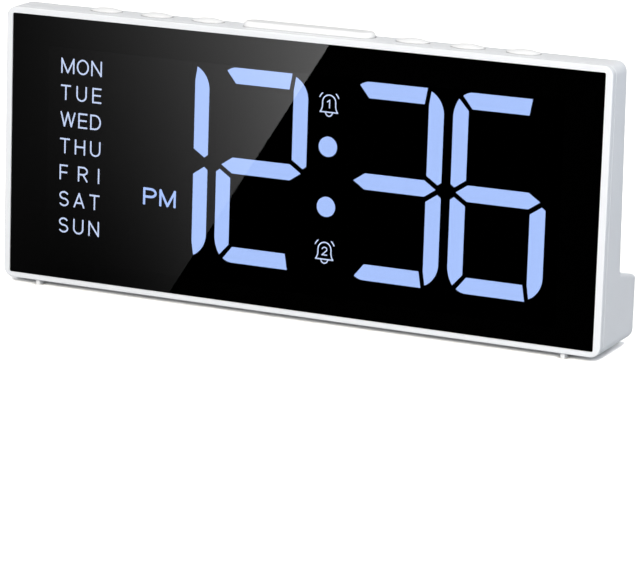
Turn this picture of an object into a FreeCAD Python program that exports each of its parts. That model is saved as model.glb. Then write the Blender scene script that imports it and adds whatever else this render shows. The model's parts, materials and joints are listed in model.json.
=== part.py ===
"""Day clock with a large lit display, for a table or shelf.

Millimetres, +Z up, +Y to the back, +X to the right of someone who reads the clock.
The origin is on the table, under the middle of the clock.

Three working frames are used, and each piece is built in the one it follows:
  case frame   upright; the case's lower front edge lies on the X axis
  face frame   the case frame leaned back with the face: x, depth behind the face, height up the face
  back frame   leaned with the upper back wall: x, distance out of the wall, height up the wall
"""
import FreeCAD
import Part
import math
import os

V = FreeCAD.Vector
OUT = "parts"

# ---- case ----
case_width = 260.0
face_lean = 3.0            # degrees that the face leans back
corner_radius = 4.0        # of the case's outline
wall = 2.0
rim_side = 2.8             # visible width of the frame beside the lens
rim_top = 2.45
rim_bottom = 2.2
window_height = 105.1
frame_depth = 3.4          # front frame, front to seam
tongue_wall = 1.3          # of the skirt that the frame puts inside the housing
tongue_clearance = 0.15
tongue_end = 7.0
tongue_top = 90.0
seam = 0.05
front_edge_radius = 0.5
body_depth_top = 14.9      # horizontal, face to back wall, at the top
back_lean = 0.8            # degrees that the upper back wall leans back
back_edge_radius = 1.8
block_depth = 33.7         # horizontal, at the table end of the lower block
block_height = 28.3        # where the sloping top meets the upper back wall
block_slope = 12.7         # degrees
block_edge_radius = 1.6
foot_height = 2.1
foot_width = 2.0
foot_length = 4.6
foot_radius = 0.7
foot_spacing = 229.2
front_foot_set_back = 1.0
rear_foot_set_back = 3.0

# ---- window stack, depths behind the face ----
lens_recess = 0.3
lens_thickness = 1.5
lens_clearance = 0.1
window_corner = 0.7
ink_gap = 0.1              # room for the printed legends behind the lens
film_thickness = 0.2
guide_clearance = 0.08
ledge_side = 15.2          # ledge seen behind the lens, measured from the window's edge
ledge_bottom = 5.8
ledge_top = 11.0
ledge_clearance = 0.3
flange_width = 4.0
flange_trim = 0.6
flange_top_trim = 1.75     # keeps the display board below the button board
reflector_depth = 5.2      # lens side to board side
board_thickness = 1.2
chip_height = 0.8
chip_side = 2.8
front_gap = 0.05           # from the lens to the light guides

# ---- display layout, across the window from left to right ----
layout_left = 21.0         # window's edge to the weekday column
weekday_guide_width = 20.6
weekday_gap = 8.12         # weekday column to the first digit
digit_gap = 3.95           # between the digits of a pair
colon_gap = 9.1            # digit to the middle of the colon
layout_right = 22.18       # last digit to the window's edge
# and up it, from the window's middle
digit_rise = 1.24          # of the digits' middle above the window's middle
digit_half_height = 38.4
segment_thickness = 6.2
segment_gap = 1.9          # half the gap between the segments that meet end to end
colon_radius = 3.9
colon_half_pitch = 11.7
weekday_pitch = 10.71
weekday_guide_height = 7.6
am_pm_side_gap = 4.85      # from a side segment of the first digit to the AM and PM guides
am_pm_shift = 1.6          # of those guides, to the left of the digit's middle
am_pm_half_pitch = 16.5
am_pm_guide_height = 8.6
alarm_half_pitch = 28.6
alarm_guide_width = 10.0
alarm_guide_height = 10.4
chip_near = 0.3            # chips behind a side segment, as shares of the digit's half height
chip_far = 0.65

# ---- segment shape; a pair is (in from the digit's nearer side, down from its top) ----
bar_tip = (3.85, 1.4)      # left end of the top bar
bar_bend = (5.75, 0.35)
bar_start = 7.85
bar_end = 7.05             # its right end leans by bar_slant
bar_slant = 1.1
right_tip = (5.35, 1.15)   # upper end of the right side
right_bend = (2.05, 3.85)
right_round = 9.15
right_inner_drop = 6.4
left_tip = (2.2, 2.75)     # upper end of the left side
left_bend = (0.5, 6.4)
left_round = 11.15
left_inner_drop = 7.05
side_foot_inset = 1.5      # point of a side, near the middle bar
side_heel = 1.1
middle_start = 2.25
middle_shoulder = 6.95
middle_end = 2.35

# ---- buttons on the top ----
button_width = 13.7
button_depth = 8.0
button_dome = 1.5
button_shoulder = 0.35
button_pitch = 22.85
first_button_x = 44.1      # middle of the bar to the middle of the nearest button
snooze_length = 56.0
snooze_depth = 8.6
snooze_height = 2.2
snooze_edge_radius = 1.6
button_row_x = 0.6
button_row_depth = 8.7     # behind the face's top edge
button_clearance = 0.25
button_travel = 0.6
lip_width = 1.0
lip_depth = 4.0
lip_thickness = 1.0
lip_gap = 0.05
stem_radius = 1.5
stem_length = 2.0
plunger_radius = 1.7
plunger_clearance = 0.1
plunger_length = 2.3
plunger_showing = 0.9
switch_side = 6.0
switch_height = 3.4
button_board_depth = 8.4
button_board_margin = 8.0
bracket_width = 5.0
bracket_height = 3.2
bracket_reach = 4.0
bracket_x = 32.0
bracket_pitch = 68.0
board_edge_gap = 0.3

# ---- screws ----
boss_radius = 3.5
boss_inset_x = 9.5         # from the case's side
boss_heights = (11.0, 56.0, 97.0)
boss_depth = 8.2           # back face of the frame's bosses
pilot_depth = 4.7
tip_clearance = 0.2
thread_gap = 0.02          # between a thread and its pilot hole
screw_radius = 1.0
screw_hole_radius = 1.3
screw_head_radius = 2.4
screw_head_height = 1.6
screw_grip = 3.0           # plastic under the head
screw_bite = 4.5           # thread in the boss
head_clearance = 0.35
post_wall = 1.2
board_screw_inset = 3.0
board_screw_head_radius = 1.9
board_screw_head_height = 1.2
board_screw_bite = 3.0
small_screw_radius = 0.8
small_hole_radius = 1.0
small_head_radius = 1.6
small_head_height = 0.9
recess_slot = 0.5          # width of a cross recess
recess_reach = 1.3         # from the screw's middle to the end of a recess arm
recess_depth = 0.6
clamp_radius = 2.5
clamp_x = 70.0
clamp_margin = 9.0

# ---- electronics ----
controller_side = 12.0
controller_height = 1.6
controller_x = -18.0
crystal_length = 6.0
crystal_radius = 1.5
crystal_gap = 2.0
socket_length = 12.0
socket_height = 2.4
socket_drop = 8.0
socket_bite = 1.5
ribbon_width = 9.0
ribbon_thickness = 0.4
ribbon_clearance = 0.5
slot_clearance = 0.25
ribbon_x = 12.0
speaker_x = -62.0
speaker_height_up = 66.0
speaker_radius = 17.0
speaker_flange = 1.6
speaker_cone_radius = 13.0
speaker_cone_depth = 1.4
speaker_basket_depth = 2.2
basket_floor = 0.5
cone_drop = 0.6
magnet_radius = 8.0
magnet_depth = 1.4
speaker_rib = 1.2
speaker_fit = 0.15
grille_hole_radius = 0.9
grille_pitch = 3.1
grille_rings = 4
lead_radius = 0.4
lead_spacing = 2.6
power_lead_rise = 4.0
power_lead_climb = 9.0
speaker_lead_rise = 1.0
speaker_lead_span = 12.0

# ---- backup cell ----
bay_x = 62.0
bay_height_up = 66.0
door_width = 33.0
door_height = 29.0
door_thickness = 1.6
door_clearance = 0.2
door_ledge = 1.2
door_corner = 2.0
bay_wall = 1.0
cell_radius = 10.0
cell_thickness = 3.2
cell_gap = 0.3
contact_thickness = 0.3
contact_rise = 0.8
contact_width = 6.0
door_screw_boss = 2.4
boss_bury = 0.6            # of that boss, let into the bay's wall
grip_grooves = 3
grip_inset = 4.0
grip_pitch = 2.0
grip_half = 6.0
grip_depth = 0.35

# ---- power inlet ----
inlet_x = 0.0
inlet_height = 14.0
usb_width = 8.94
usb_height = 3.16
usb_length = 7.3
usb_shell = 0.3
usb_setback = 0.5
usb_clearance = 0.25
tongue_width = 6.7
tongue_thickness = 0.7
power_board_width = 34.0
power_board_length = 15.0
power_post_radius = 2.4
power_screw_inset = 3.5

# ---- values worked out from the ones above ----
lean = math.radians(face_lean)
back_tilt = math.radians(back_lean)
case_face_height = rim_bottom + window_height + rim_top
case_height = case_face_height * math.cos(lean)
window_width = case_width - 2 * rim_side
window_middle = rim_bottom + window_height / 2
layout_fixed = layout_left + weekday_guide_width + weekday_gap + 2 * (digit_gap + colon_gap) + layout_right
digit_width = (window_width - layout_fixed) / 4
digit_half_width = digit_width / 2
weekday_x = -window_width / 2 + layout_left + weekday_guide_width / 2
first_digit_x = weekday_x + weekday_guide_width / 2 + weekday_gap + digit_half_width
second_digit_x = first_digit_x + digit_width + digit_gap
colon_x = second_digit_x + digit_half_width + colon_gap
third_digit_x = colon_x + colon_gap + digit_half_width
fourth_digit_x = third_digit_x + digit_width + digit_gap
am_pm_x = first_digit_x - am_pm_shift
am_pm_guide_width = digit_width - 2 * (segment_thickness + am_pm_side_gap)
lens_back = lens_recess + lens_thickness
film_front = lens_back + ink_gap
reflector_front = film_front + film_thickness
board_front = reflector_front + reflector_depth
guide_front = lens_back + front_gap
guide_back = board_front - chip_height
board_back = board_front + board_thickness
reflector_half_width = window_width / 2 - ledge_side + flange_width
reflector_bottom = rim_bottom + ledge_bottom - flange_width + flange_trim
reflector_top = case_face_height - rim_top - ledge_top + flange_width - flange_top_trim
top_inside = case_height - wall
lip_top = top_inside - lip_gap
lip_bottom = lip_top - lip_thickness
stem_bottom = lip_bottom - stem_length
switch_top = stem_bottom - plunger_showing
button_board_top = switch_top - switch_height
button_board_bottom = button_board_top - board_thickness
head_seat = boss_depth + screw_grip
pilot_radius = screw_radius + thread_gap
post_radius = screw_head_radius + head_clearance + post_wall
power_board_bottom = inlet_height - usb_height / 2 - board_thickness
top_front_y = case_height * math.tan(lean)
button_row_y = top_front_y + button_row_depth
reach = 400.0              # longer than the clock, for cutting shapes


# ---- frames ----
def face_to_case(shape):
    """Lean a shape built in the face frame."""
    leaned = shape.copy()
    leaned.rotate(V(0, 0, 0), V(1, 0, 0), -face_lean)
    return leaned


def back_wall_y(z, inset=0.0):
    """Y of the upper back wall's outer face, or of the plane that far inside it."""
    y_top = top_front_y + body_depth_top
    return y_top - (case_height - z) * math.tan(back_tilt) - inset / math.cos(back_tilt)


def back_to_case(shape, x, z):
    """Put a shape built in the back frame on the upper back wall at x and height z."""
    placed = shape.copy()
    placed.rotate(V(0, 0, 0), V(1, 0, 0), -back_lean)
    placed.translate(V(x, back_wall_y(z), z))
    return placed


def back_point(x, z, out):
    """Point that far out of the upper back wall, about the wall's point at x and height z."""
    return V(x, back_wall_y(z) + out * math.cos(back_tilt), z - out * math.sin(back_tilt))


# ---- plain shapes ----
def box(x0, x1, y0, y1, z0, z1):
    return Part.makeBox(x1 - x0, y1 - y0, z1 - z0, V(x0, y0, z0))


def rod(radius, x, y0, y1, z):
    """Cylinder along Y."""
    return Part.makeCylinder(radius, y1 - y0, V(x, y0, z), V(0, 1, 0))


def pillar(radius, x, y, z0, z1):
    """Cylinder along Z."""
    return Part.makeCylinder(radius, z1 - z0, V(x, y, z0), V(0, 0, 1))


def rounded_plate(x0, x1, y0, y1, z0, z1, radius):
    """Box with its four edges along Y rounded."""
    plate = box(x0, x1, y0, y1, z0, z1)
    edges = [e for e in plate.Edges if abs(e.tangentAt(e.FirstParameter).y) > 0.99]
    return plate.makeFillet(radius, edges)


def side_prism(points):
    """Polygon of (y, z) points, drawn out along X past both sides of the case."""
    corners = [V(-reach, y, z) for y, z in points]
    return Part.Face(Part.makePolygon(corners + corners[:1])).extrude(V(2 * reach, 0, 0))


def face_slab(depth0, depth1):
    """Everything between two depths behind the face."""
    return face_to_case(box(-reach, reach, depth0, depth1, -reach, reach))


def cross_recess(x, y0, y1, z):
    """Cross-shaped cutter along Y for a screw head."""
    arm = recess_reach
    half = recess_slot / 2
    across = box(x - arm, x + arm, y0, y1, z - half, z + half)
    upright = box(x - half, x + half, y0, y1, z - arm, z + arm)
    return across.fuse(upright)


def fuse_all(shapes):
    joined = shapes[0]
    if len(shapes) > 1:
        joined = joined.multiFuse(shapes[1:])
    return joined.removeSplitter()


def round_edges(shape, radius, wanted):
    """Fillet the edges for which wanted(edge) holds."""
    return shape.makeFillet(radius, [e for e in shape.Edges if wanted(e)])


# ---- case envelope ----
def envelope(inset=0.0):
    """The case's rounded outline, drawn out along Y, or the same that far inside."""
    half = case_width / 2 - inset
    radius = max(corner_radius - inset, 0.5)
    return rounded_plate(-half, half, -reach / 4, reach / 4, inset, case_height - inset, radius)


def block_back_y(z, inset=0.0):
    return block_depth + z * math.tan(lean) - inset / math.cos(lean)


def block_top_z(y, inset=0.0):
    slope = math.radians(block_slope)
    return block_height - (y - back_wall_y(block_height)) * math.tan(slope) - inset / math.cos(slope)


def block_top_corner(inset=0.0):
    """Where the block's sloping top meets its back, as (y, z)."""
    fall = math.tan(math.radians(block_slope))
    z = block_top_z(block_back_y(0, inset), inset) / (1 + fall * math.tan(lean))
    return block_back_y(z, inset), z


def upper_body(inset=0.0):
    foot = (0.0, 0.0)
    crown = (top_front_y, case_height)
    back_top = (back_wall_y(case_height, inset), case_height)
    back_foot = (back_wall_y(0, inset), 0.0)
    return envelope(inset).common(side_prism([foot, crown, back_top, back_foot]))


def lower_block(inset=0.0):
    front_top = block_top_z(0, inset)
    points = [(0.0, 0.0), (0.0, front_top), block_top_corner(inset), (block_back_y(0, inset), 0.0)]
    return envelope(inset).common(side_prism(points)).common(face_slab(0, reach))


def on_back_wall(edge):
    """An edge of the upper body's back face."""
    return all(abs(v.Y - back_wall_y(v.Z)) < 0.01 for v in edge.Vertexes)


def on_block_rim(edge):
    """An edge of the block's back face, or where its top meets a side."""
    ends = edge.Vertexes
    on_back = all(abs(v.Y - block_back_y(v.Z)) < 0.01 for v in ends)
    on_top = all(abs(v.Z - block_top_z(v.Y)) < 0.01 for v in ends)
    at_side = all(abs(abs(v.X) - case_width / 2) < 0.01 for v in ends)
    return on_back or (on_top and at_side)


def case_solid():
    upper = round_edges(upper_body(), back_edge_radius, on_back_wall)
    block = round_edges(lower_block(), block_edge_radius, on_block_rim)
    return fuse_all([upper, block])


def case_cavity():
    return fuse_all([upper_body(wall), lower_block(wall)])


# ---- display layout ----
def outline_face(points, depth):
    """Flat closed face at a depth. A pair of (x, z) points in the list is an arc through the first."""
    edges = []
    here = V(points[0][0], depth, points[0][1])
    for step in points[1:] + points[:1]:
        if isinstance(step[0], tuple):
            through = V(step[0][0], depth, step[0][1])
            there = V(step[1][0], depth, step[1][1])
            edges.append(Part.Arc(here, through, there).toShape())
        else:
            there = V(step[0], depth, step[1])
            edges.append(Part.LineSegment(here, there).toShape())
        here = there
    return Part.Face(Part.Wire(edges))


def segment_outlines():
    """Four of the seven segments about the digit's middle; the rest mirror them. The right side is
    squarer than the left, so the bars' right ends lean and their left ends are mitred."""
    half = segment_thickness / 2

    def left(inset, drop):
        return inset - digit_half_width, digit_half_height - drop

    def right(inset, drop):
        return digit_half_width - inset, digit_half_height - drop

    foot = digit_half_height - segment_gap
    heel = foot - side_heel
    shoulder = foot - half
    bar = [left(*bar_tip), (left(*bar_bend), left(bar_start, 0)), right(bar_end, 0),
           right(bar_end + bar_slant, segment_thickness), left(bar_start, segment_thickness)]
    right_side = [right(*right_tip), (right(*right_bend), right(0, right_round)), right(0, heel),
                  right(side_foot_inset, foot), right(segment_thickness, shoulder),
                  right(segment_thickness, right_inner_drop)]
    left_side = [left(segment_thickness, left_inner_drop), left(segment_thickness, shoulder),
                 left(side_foot_inset, foot), left(0, heel), left(0, left_round),
                 (left(*left_bend), left(*left_tip))]
    middle = digit_half_height
    cross = [left(middle_start, middle), left(middle_shoulder, middle - half),
             right(bar_end, middle - half), right(middle_end, middle), right(bar_end, middle + half),
             left(middle_shoulder, middle + half)]
    return {"a": bar, "b": right_side, "f": left_side, "g": cross}


def segment_faces(x, z, depth):
    """The seven segment faces of the digit whose middle is at x, z."""
    faces = {name: outline_face(points, depth) for name, points in segment_outlines().items()}
    for name, twin in (("a", "d"), ("b", "c"), ("f", "e")):
        faces[twin] = faces[name].mirror(V(0, 0, 0), V(0, 0, 1))
    for face in faces.values():
        face.translate(V(x, 0, z))
    return faces


def digit_middles():
    """Digit name to its middle, in the face frame."""
    z = window_middle + digit_rise
    return {
        "digit_hour_tens": (first_digit_x, z),
        "digit_hour_units": (second_digit_x, z),
        "digit_minute_tens": (third_digit_x, z),
        "digit_minute_units": (fourth_digit_x, z),
    }


LIT = {
    "digit_hour_tens": "bc",
    "digit_hour_units": "abged",
    "digit_minute_tens": "abgcd",
    "digit_minute_units": "afgedc",
}


def guide_windows():
    """Rectangular light guides behind the printed legends: name to a list of (x, z, width, height)."""
    z = window_middle + digit_rise
    days = [(weekday_x, z + (3 - day) * weekday_pitch, weekday_guide_width, weekday_guide_height)
            for day in range(7)]
    halves = [(am_pm_x, z + side * am_pm_half_pitch, am_pm_guide_width, am_pm_guide_height)
              for side in (1, -1)]
    bells = [(colon_x, z + side * alarm_half_pitch, alarm_guide_width, alarm_guide_height)
             for side in (1, -1)]
    return {"weekday_guides": days, "am_pm_guides": halves, "alarm_guides": bells}


def colon_places():
    z = window_middle + digit_rise
    return [(colon_x, z + side * colon_half_pitch) for side in (1, -1)]


def chip_places():
    """Middles of the light-emitting chips: two behind each bar and legend, one behind each dot."""
    places = []
    side_x = digit_half_width - segment_thickness / 2
    bar_x = digit_half_width / 3
    bar_z = digit_half_height - segment_thickness / 2
    for x, z in digit_middles().values():
        for side in (-1, 1):
            places += [(x + side * bar_x, z + up) for up in (-bar_z, 0, bar_z)]
            places += [(x + side * side_x, z + sign * digit_half_height * share)
                       for sign in (-1, 1) for share in (chip_near, chip_far)]
    for windows in guide_windows().values():
        places += [(x + side * width / 4, z) for x, z, width, height in windows for side in (-1, 1)]
    return places + colon_places()


# ---- front frame and window ----
def boss_places():
    """(x, height up the face) of each case screw."""
    x = case_width / 2 - boss_inset_x
    return [(side * x, z) for side in (-1, 1) for z in boss_heights]


def front_frame():
    ring = case_solid().common(face_slab(-reach, frame_depth))
    front_face = min(ring.Faces, key=lambda f: f.CenterOfMass.y)
    ring = ring.makeFillet(front_edge_radius, front_face.OuterWire.Edges)
    half = window_width / 2
    top = rim_bottom + window_height
    recess = rounded_plate(-half, half, -reach, lens_back, rim_bottom, top, window_corner)
    opening_half = half - ledge_side
    opening = box(-opening_half, opening_half, 0, reach, rim_bottom + ledge_bottom, top - ledge_top)
    outer = wall + tongue_clearance
    tongue = envelope(outer).cut(envelope(outer + tongue_wall))
    tongue = tongue.common(face_slab(frame_depth, tongue_end))
    tongue = tongue.cut(box(-reach, reach, -reach, reach, tongue_top, reach))
    bosses = [rod(boss_radius, x, frame_depth, boss_depth, z) for x, z in boss_places()]
    pilots = [rod(pilot_radius, x, boss_depth - pilot_depth, reach, z) for x, z in boss_places()]
    frame = ring.cut(face_to_case(recess.fuse(opening)))
    frame = fuse_all([frame, tongue] + [face_to_case(boss) for boss in bosses])
    return frame.cut(face_to_case(Part.makeCompound(pilots)))


def display_lens():
    half = window_width / 2 - lens_clearance
    low = rim_bottom + lens_clearance
    high = rim_bottom + window_height - lens_clearance
    corner = window_corner - lens_clearance
    return face_to_case(rounded_plate(-half, half, lens_recess, lens_back, low, high, corner))


def opening_box(depth0, depth1):
    """What fills the ledge's opening between two depths."""
    half = window_width / 2 - ledge_side - ledge_clearance
    low = rim_bottom + ledge_bottom + ledge_clearance
    high = rim_bottom + window_height - ledge_top - ledge_clearance
    return box(-half, half, depth0, depth1, low, high)


# ---- light guides, and the wells that hold them ----
def guide_faces(depth):
    """Every light guide's outline: name to a list of faces."""
    faces = {"dark_segments": []}
    for name, (x, z) in digit_middles().items():
        segments = segment_faces(x, z, depth)
        faces[name] = [segments[key] for key in LIT[name]]
        faces["dark_segments"] += [segments[key] for key in segments if key not in LIT[name]]
    for name, windows in guide_windows().items():
        faces[name] = []
        for x, z, width, height in windows:
            x0 = x - width / 2
            z0 = z - height / 2
            corners = [(x0, z0), (x0 + width, z0), (x0 + width, z0 + height), (x0, z0 + height)]
            faces[name].append(outline_face(corners, depth))
    return faces


def light_guides():
    """Clear bars down to the chips, from behind the lens or, under the legends, the film."""
    guides = {}
    for name, faces in guide_faces(0).items():
        front = reflector_front if name in guide_windows() else guide_front
        solids = [face.extrude(V(0, guide_back - front, 0)) for face in faces]
        bars = Part.makeCompound(solids)
        bars.translate(V(0, front, 0))
        guides[name] = face_to_case(bars)
    dots = [rod(colon_radius, x, guide_front, guide_back, z) for x, z in colon_places()]
    guides["colon_dots"] = face_to_case(Part.makeCompound(dots))
    return guides


def wells(depth0, depth1, names):
    """Cutters for the named guides, with their clearance."""
    cutters = []
    for name, faces in guide_faces(depth0).items():
        if name in names:
            for face in faces:
                wide = face.makeOffset2D(guide_clearance)
                cutters.append(wide.extrude(V(0, depth1 - depth0, 0)))
    dots = [rod(colon_radius + guide_clearance, x, depth0, depth1, z) for x, z in colon_places()]
    return Part.makeCompound(cutters + dots)


def mask_film():
    segments = list(LIT) + ["dark_segments"]
    film = opening_box(film_front, reflector_front)
    return face_to_case(film.cut(wells(lens_back, board_front, segments)))


def board_outline(depth0, depth1):
    return box(-reflector_half_width, reflector_half_width, depth0, depth1,
               reflector_bottom, reflector_top)


def board_screw_places():
    x = reflector_half_width - board_screw_inset
    low = reflector_bottom + board_screw_inset
    high = reflector_top - board_screw_inset
    return [(side * x, z) for side in (-1, 1) for z in (low, (low + high) / 2, high)]


def display_reflector():
    block = opening_box(reflector_front, frame_depth).fuse(board_outline(frame_depth, board_front))
    names = list(guide_faces(0))
    block = block.removeSplitter().cut(wells(lens_back, reach, names))
    depth = board_front - board_screw_bite - tip_clearance
    pilots = [rod(pilot_radius, x, depth, reach, z) for x, z in board_screw_places()]
    return face_to_case(block.cut(Part.makeCompound(pilots)))


# ---- display board ----
def led_board():
    plate = board_outline(board_front, board_back)
    holes = [rod(screw_hole_radius, x, 0, reach, z) for x, z in board_screw_places()]
    return face_to_case(plate.cut(Part.makeCompound(holes)))


def led_chips():
    half = chip_side / 2
    chips = [box(x - half, x + half, guide_back, board_front, z - half, z + half)
             for x, z in chip_places()]
    return face_to_case(Part.makeCompound(chips))


def screw(radius, head_radius, head_height, x, tip, seat, z):
    """Pan-head screw along Y whose head rests on the seat and faces the back."""
    body = rod(radius, x, tip, seat, z).fuse(rod(head_radius, x, seat, seat + head_height, z))
    top = seat + head_height
    return body.cut(cross_recess(x, top - recess_depth, top + 1, z))


def board_screws():
    tip = board_front - board_screw_bite
    screws = [screw(screw_radius, board_screw_head_radius, board_screw_head_height, x, tip, board_back, z)
              for x, z in board_screw_places()]
    return face_to_case(Part.makeCompound(screws))


def controller_chip():
    half = controller_side / 2
    middle = window_middle
    package = box(controller_x - half, controller_x + half, board_back, board_back + controller_height,
                  middle - half, middle + half)
    return face_to_case(package)


def clock_crystal():
    """Small can beside the controller."""
    x = controller_x + controller_side / 2 + crystal_gap + crystal_radius
    low = window_middle - crystal_length / 2
    can = pillar(crystal_radius, x, board_back + crystal_radius, low, low + crystal_length)
    return face_to_case(can)


def board_back_point(x, z, out=0.0):
    """Point on the back of the display board at the height z, or that far out of it."""
    y = z * math.tan(lean) + board_back / math.cos(lean)
    return V(x, y + out * math.cos(lean), z - out * math.sin(lean))


def ribbon_top_y():
    """Middle of the upper socket, just behind the display board."""
    return board_back_point(0, button_board_bottom).y + ribbon_clearance + socket_height / 2


def ribbon_sockets():
    """One socket on the back of the display board, and one under the button board."""
    half = socket_length / 2
    slot_half = ribbon_width / 2 + slot_clearance
    gap = ribbon_thickness / 2 + slot_clearance
    top = reflector_top - socket_drop
    middle = board_back + socket_height / 2
    lower = box(ribbon_x - half, ribbon_x + half, board_back, board_back + socket_height,
                top - socket_height, top)
    lower_slot = box(ribbon_x - slot_half, ribbon_x + slot_half, middle - gap, middle + gap,
                     top - socket_bite, reach)
    y = ribbon_top_y()
    bottom = button_board_bottom - socket_height
    upper = box(ribbon_x - half, ribbon_x + half, y - socket_height / 2, y + socket_height / 2,
                bottom, button_board_bottom)
    upper_slot = box(ribbon_x - slot_half, ribbon_x + slot_half, y - gap, y + gap,
                     -reach, bottom + socket_bite)
    return Part.makeCompound([face_to_case(lower.cut(lower_slot)), upper.cut(upper_slot)])


def button_ribbon():
    """Flat cable between the two sockets, straight because they are close."""
    height = reflector_top - socket_drop - socket_bite + slot_clearance
    depth = board_back + socket_height / 2
    low_y = height * math.sin(lean) + depth * math.cos(lean)
    low_z = height * math.cos(lean) - depth * math.sin(lean)
    high_y = ribbon_top_y()
    high_z = button_board_bottom - socket_height + socket_bite
    half = ribbon_thickness / 2
    points = [(low_y - half, low_z), (low_y + half, low_z), (high_y + half, high_z), (high_y - half, high_z)]
    span = box(ribbon_x - ribbon_width / 2, ribbon_x + ribbon_width / 2, -reach, reach, -reach, reach)
    return side_prism(points).common(span)


# ---- buttons ----
def button_x():
    """Button name to the x of its middle, from left to right."""
    names = ("button_alarm_1", "button_alarm_2", "button_set", "button_down", "button_up", "button_dimmer")
    offsets = [first_button_x + k * button_pitch for k in (2, 1, 0)]
    places = [-x for x in offsets] + offsets[::-1]
    return {name: button_row_x + x for name, x in zip(names, places)}


def oval(half_width, half_depth, z0, z1):
    """Elliptic post."""
    stretch = FreeCAD.Matrix()
    stretch.scale(half_width / half_depth, 1, 1)
    return pillar(half_depth, 0, 0, z0, z1).transformGeometry(stretch)


def stadium(half_length, half_depth, z0, z1):
    """Post whose outline has two straight sides and two round ends."""
    middle = half_length - half_depth
    straight = box(-middle, middle, -half_depth, half_depth, z0, z1)
    ends = [pillar(half_depth, side * middle, 0, z0, z1) for side in (-1, 1)]
    return fuse_all([straight] + ends)


def lip_and_stems(half_width, stems):
    """What keeps a button in the case, and what presses its switches."""
    lip = box(-half_width - lip_width, half_width + lip_width, -lip_depth / 2, lip_depth / 2,
              lip_bottom, lip_top)
    return [lip] + [pillar(stem_radius, x, 0, stem_bottom, lip_bottom) for x in stems]


def oval_button():
    """Domed oval cap: a circular one drawn out sideways."""
    half_depth = button_depth / 2
    shoulder = case_height + button_shoulder
    crown = case_height + button_dome
    rise = button_dome - button_shoulder
    sphere = (half_depth ** 2 + rise ** 2) / (2 * rise)
    angle = math.asin(half_depth / sphere) / 2
    between = V(sphere * math.sin(angle), 0, crown - sphere * (1 - math.cos(angle)))
    dome = Part.Arc(V(0, 0, crown), between, V(half_depth, 0, shoulder)).toShape()
    rest = Part.makePolygon([V(half_depth, 0, shoulder), V(half_depth, 0, lip_bottom),
                             V(0, 0, lip_bottom), V(0, 0, crown)])
    profile = Part.Face(Part.Wire([dome] + rest.Edges))
    stretch = FreeCAD.Matrix()
    stretch.scale(button_width / button_depth, 1, 1)
    cap = profile.revolve(V(0, 0, 0), V(0, 0, 1), 360).transformGeometry(stretch)
    return fuse_all([cap] + lip_and_stems(button_width / 2, (0,)))


def snooze_stems():
    return (-snooze_length / 3, snooze_length / 3)


def snooze_button():
    top = case_height + snooze_height
    bar = stadium(snooze_length / 2, snooze_depth / 2, lip_bottom, top)
    bar = round_edges(bar, snooze_edge_radius, lambda e: all(abs(v.Z - top) < 0.01 for v in e.Vertexes))
    return fuse_all([bar] + lip_and_stems(snooze_length / 2, snooze_stems()))


def plungers(stems):
    """Switch pins, pressed by the stems above them."""
    low = stem_bottom - plunger_length
    pins = [pillar(plunger_radius, x, 0, low, stem_bottom) for x in stems]
    return Part.makeCompound(pins)


def button_holes():
    low = lip_bottom - button_travel - button_clearance
    high = case_height + 1
    half_width = button_width / 2 + button_clearance
    half_depth = button_depth / 2 + button_clearance
    hole = oval(half_width, half_depth, low, high)
    holes = []
    for x in button_x().values():
        placed = hole.copy()
        placed.translate(V(x, button_row_y, 0))
        holes.append(placed)
    bar = stadium(snooze_length / 2 + button_clearance, snooze_depth / 2 + button_clearance, low, high)
    bar.translate(V(button_row_x, button_row_y, 0))
    return Part.makeCompound(holes + [bar])


def switch_places():
    return list(button_x().values()) + [button_row_x + x for x in snooze_stems()]


def tact_switches():
    half = switch_side / 2
    y = button_row_y
    bodies = []
    for x in switch_places():
        body = box(x - half, x + half, y - half, y + half, button_board_top, switch_top)
        pocket_floor = stem_bottom - plunger_length - button_travel - plunger_clearance
        pocket = pillar(plunger_radius + plunger_clearance, x, y, pocket_floor, reach)
        bodies.append(body.cut(pocket))
    return Part.makeCompound(bodies)


def button_board_back_y():
    return back_wall_y(button_board_bottom, wall) - board_edge_gap


def bracket_places():
    return [button_row_x + side * x for side in (-1, 1) for x in (bracket_x, bracket_x + bracket_pitch)]


def bracket_screw_y():
    return button_board_back_y() - bracket_reach / 2


def button_board():
    back = button_board_back_y()
    half = first_button_x + 2 * button_pitch + button_board_margin + switch_side
    plate = box(button_row_x - half, button_row_x + half, back - button_board_depth, back,
                button_board_bottom, button_board_top)
    holes = [pillar(small_hole_radius, x, bracket_screw_y(), 0, reach) for x in bracket_places()]
    return plate.cut(Part.makeCompound(holes))


def upright_screw(x, y, tip, seat):
    """Small screw along Z whose head rests on the seat."""
    shank = pillar(small_screw_radius, x, y, tip, seat)
    head = pillar(small_head_radius, x, y, seat, seat + small_head_height)
    return shank.fuse(head)


def button_board_screws():
    tip = button_board_bottom - bracket_height + tip_clearance
    screws = [upright_screw(x, bracket_screw_y(), tip, button_board_top) for x in bracket_places()]
    return Part.makeCompound(screws)


# ---- rear housing ----
def brackets():
    """Shelves behind the button board, each with a pilot hole."""
    half = bracket_width / 2
    y0 = button_board_back_y() - bracket_reach
    low = button_board_bottom - bracket_height
    shelves = [box(x - half, x + half, y0, reach / 4, low, button_board_bottom) for x in bracket_places()]
    pilots = [pillar(small_screw_radius + thread_gap, x, bracket_screw_y(), low, reach)
              for x in bracket_places()]
    return Part.makeCompound(shelves).common(case_solid()).cut(Part.makeCompound(pilots))


def clamp_places():
    low = reflector_bottom + clamp_margin
    high = reflector_top - clamp_margin
    return [(side * clamp_x, z) for side in (-1, 1) for z in (low, high)]


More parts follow.
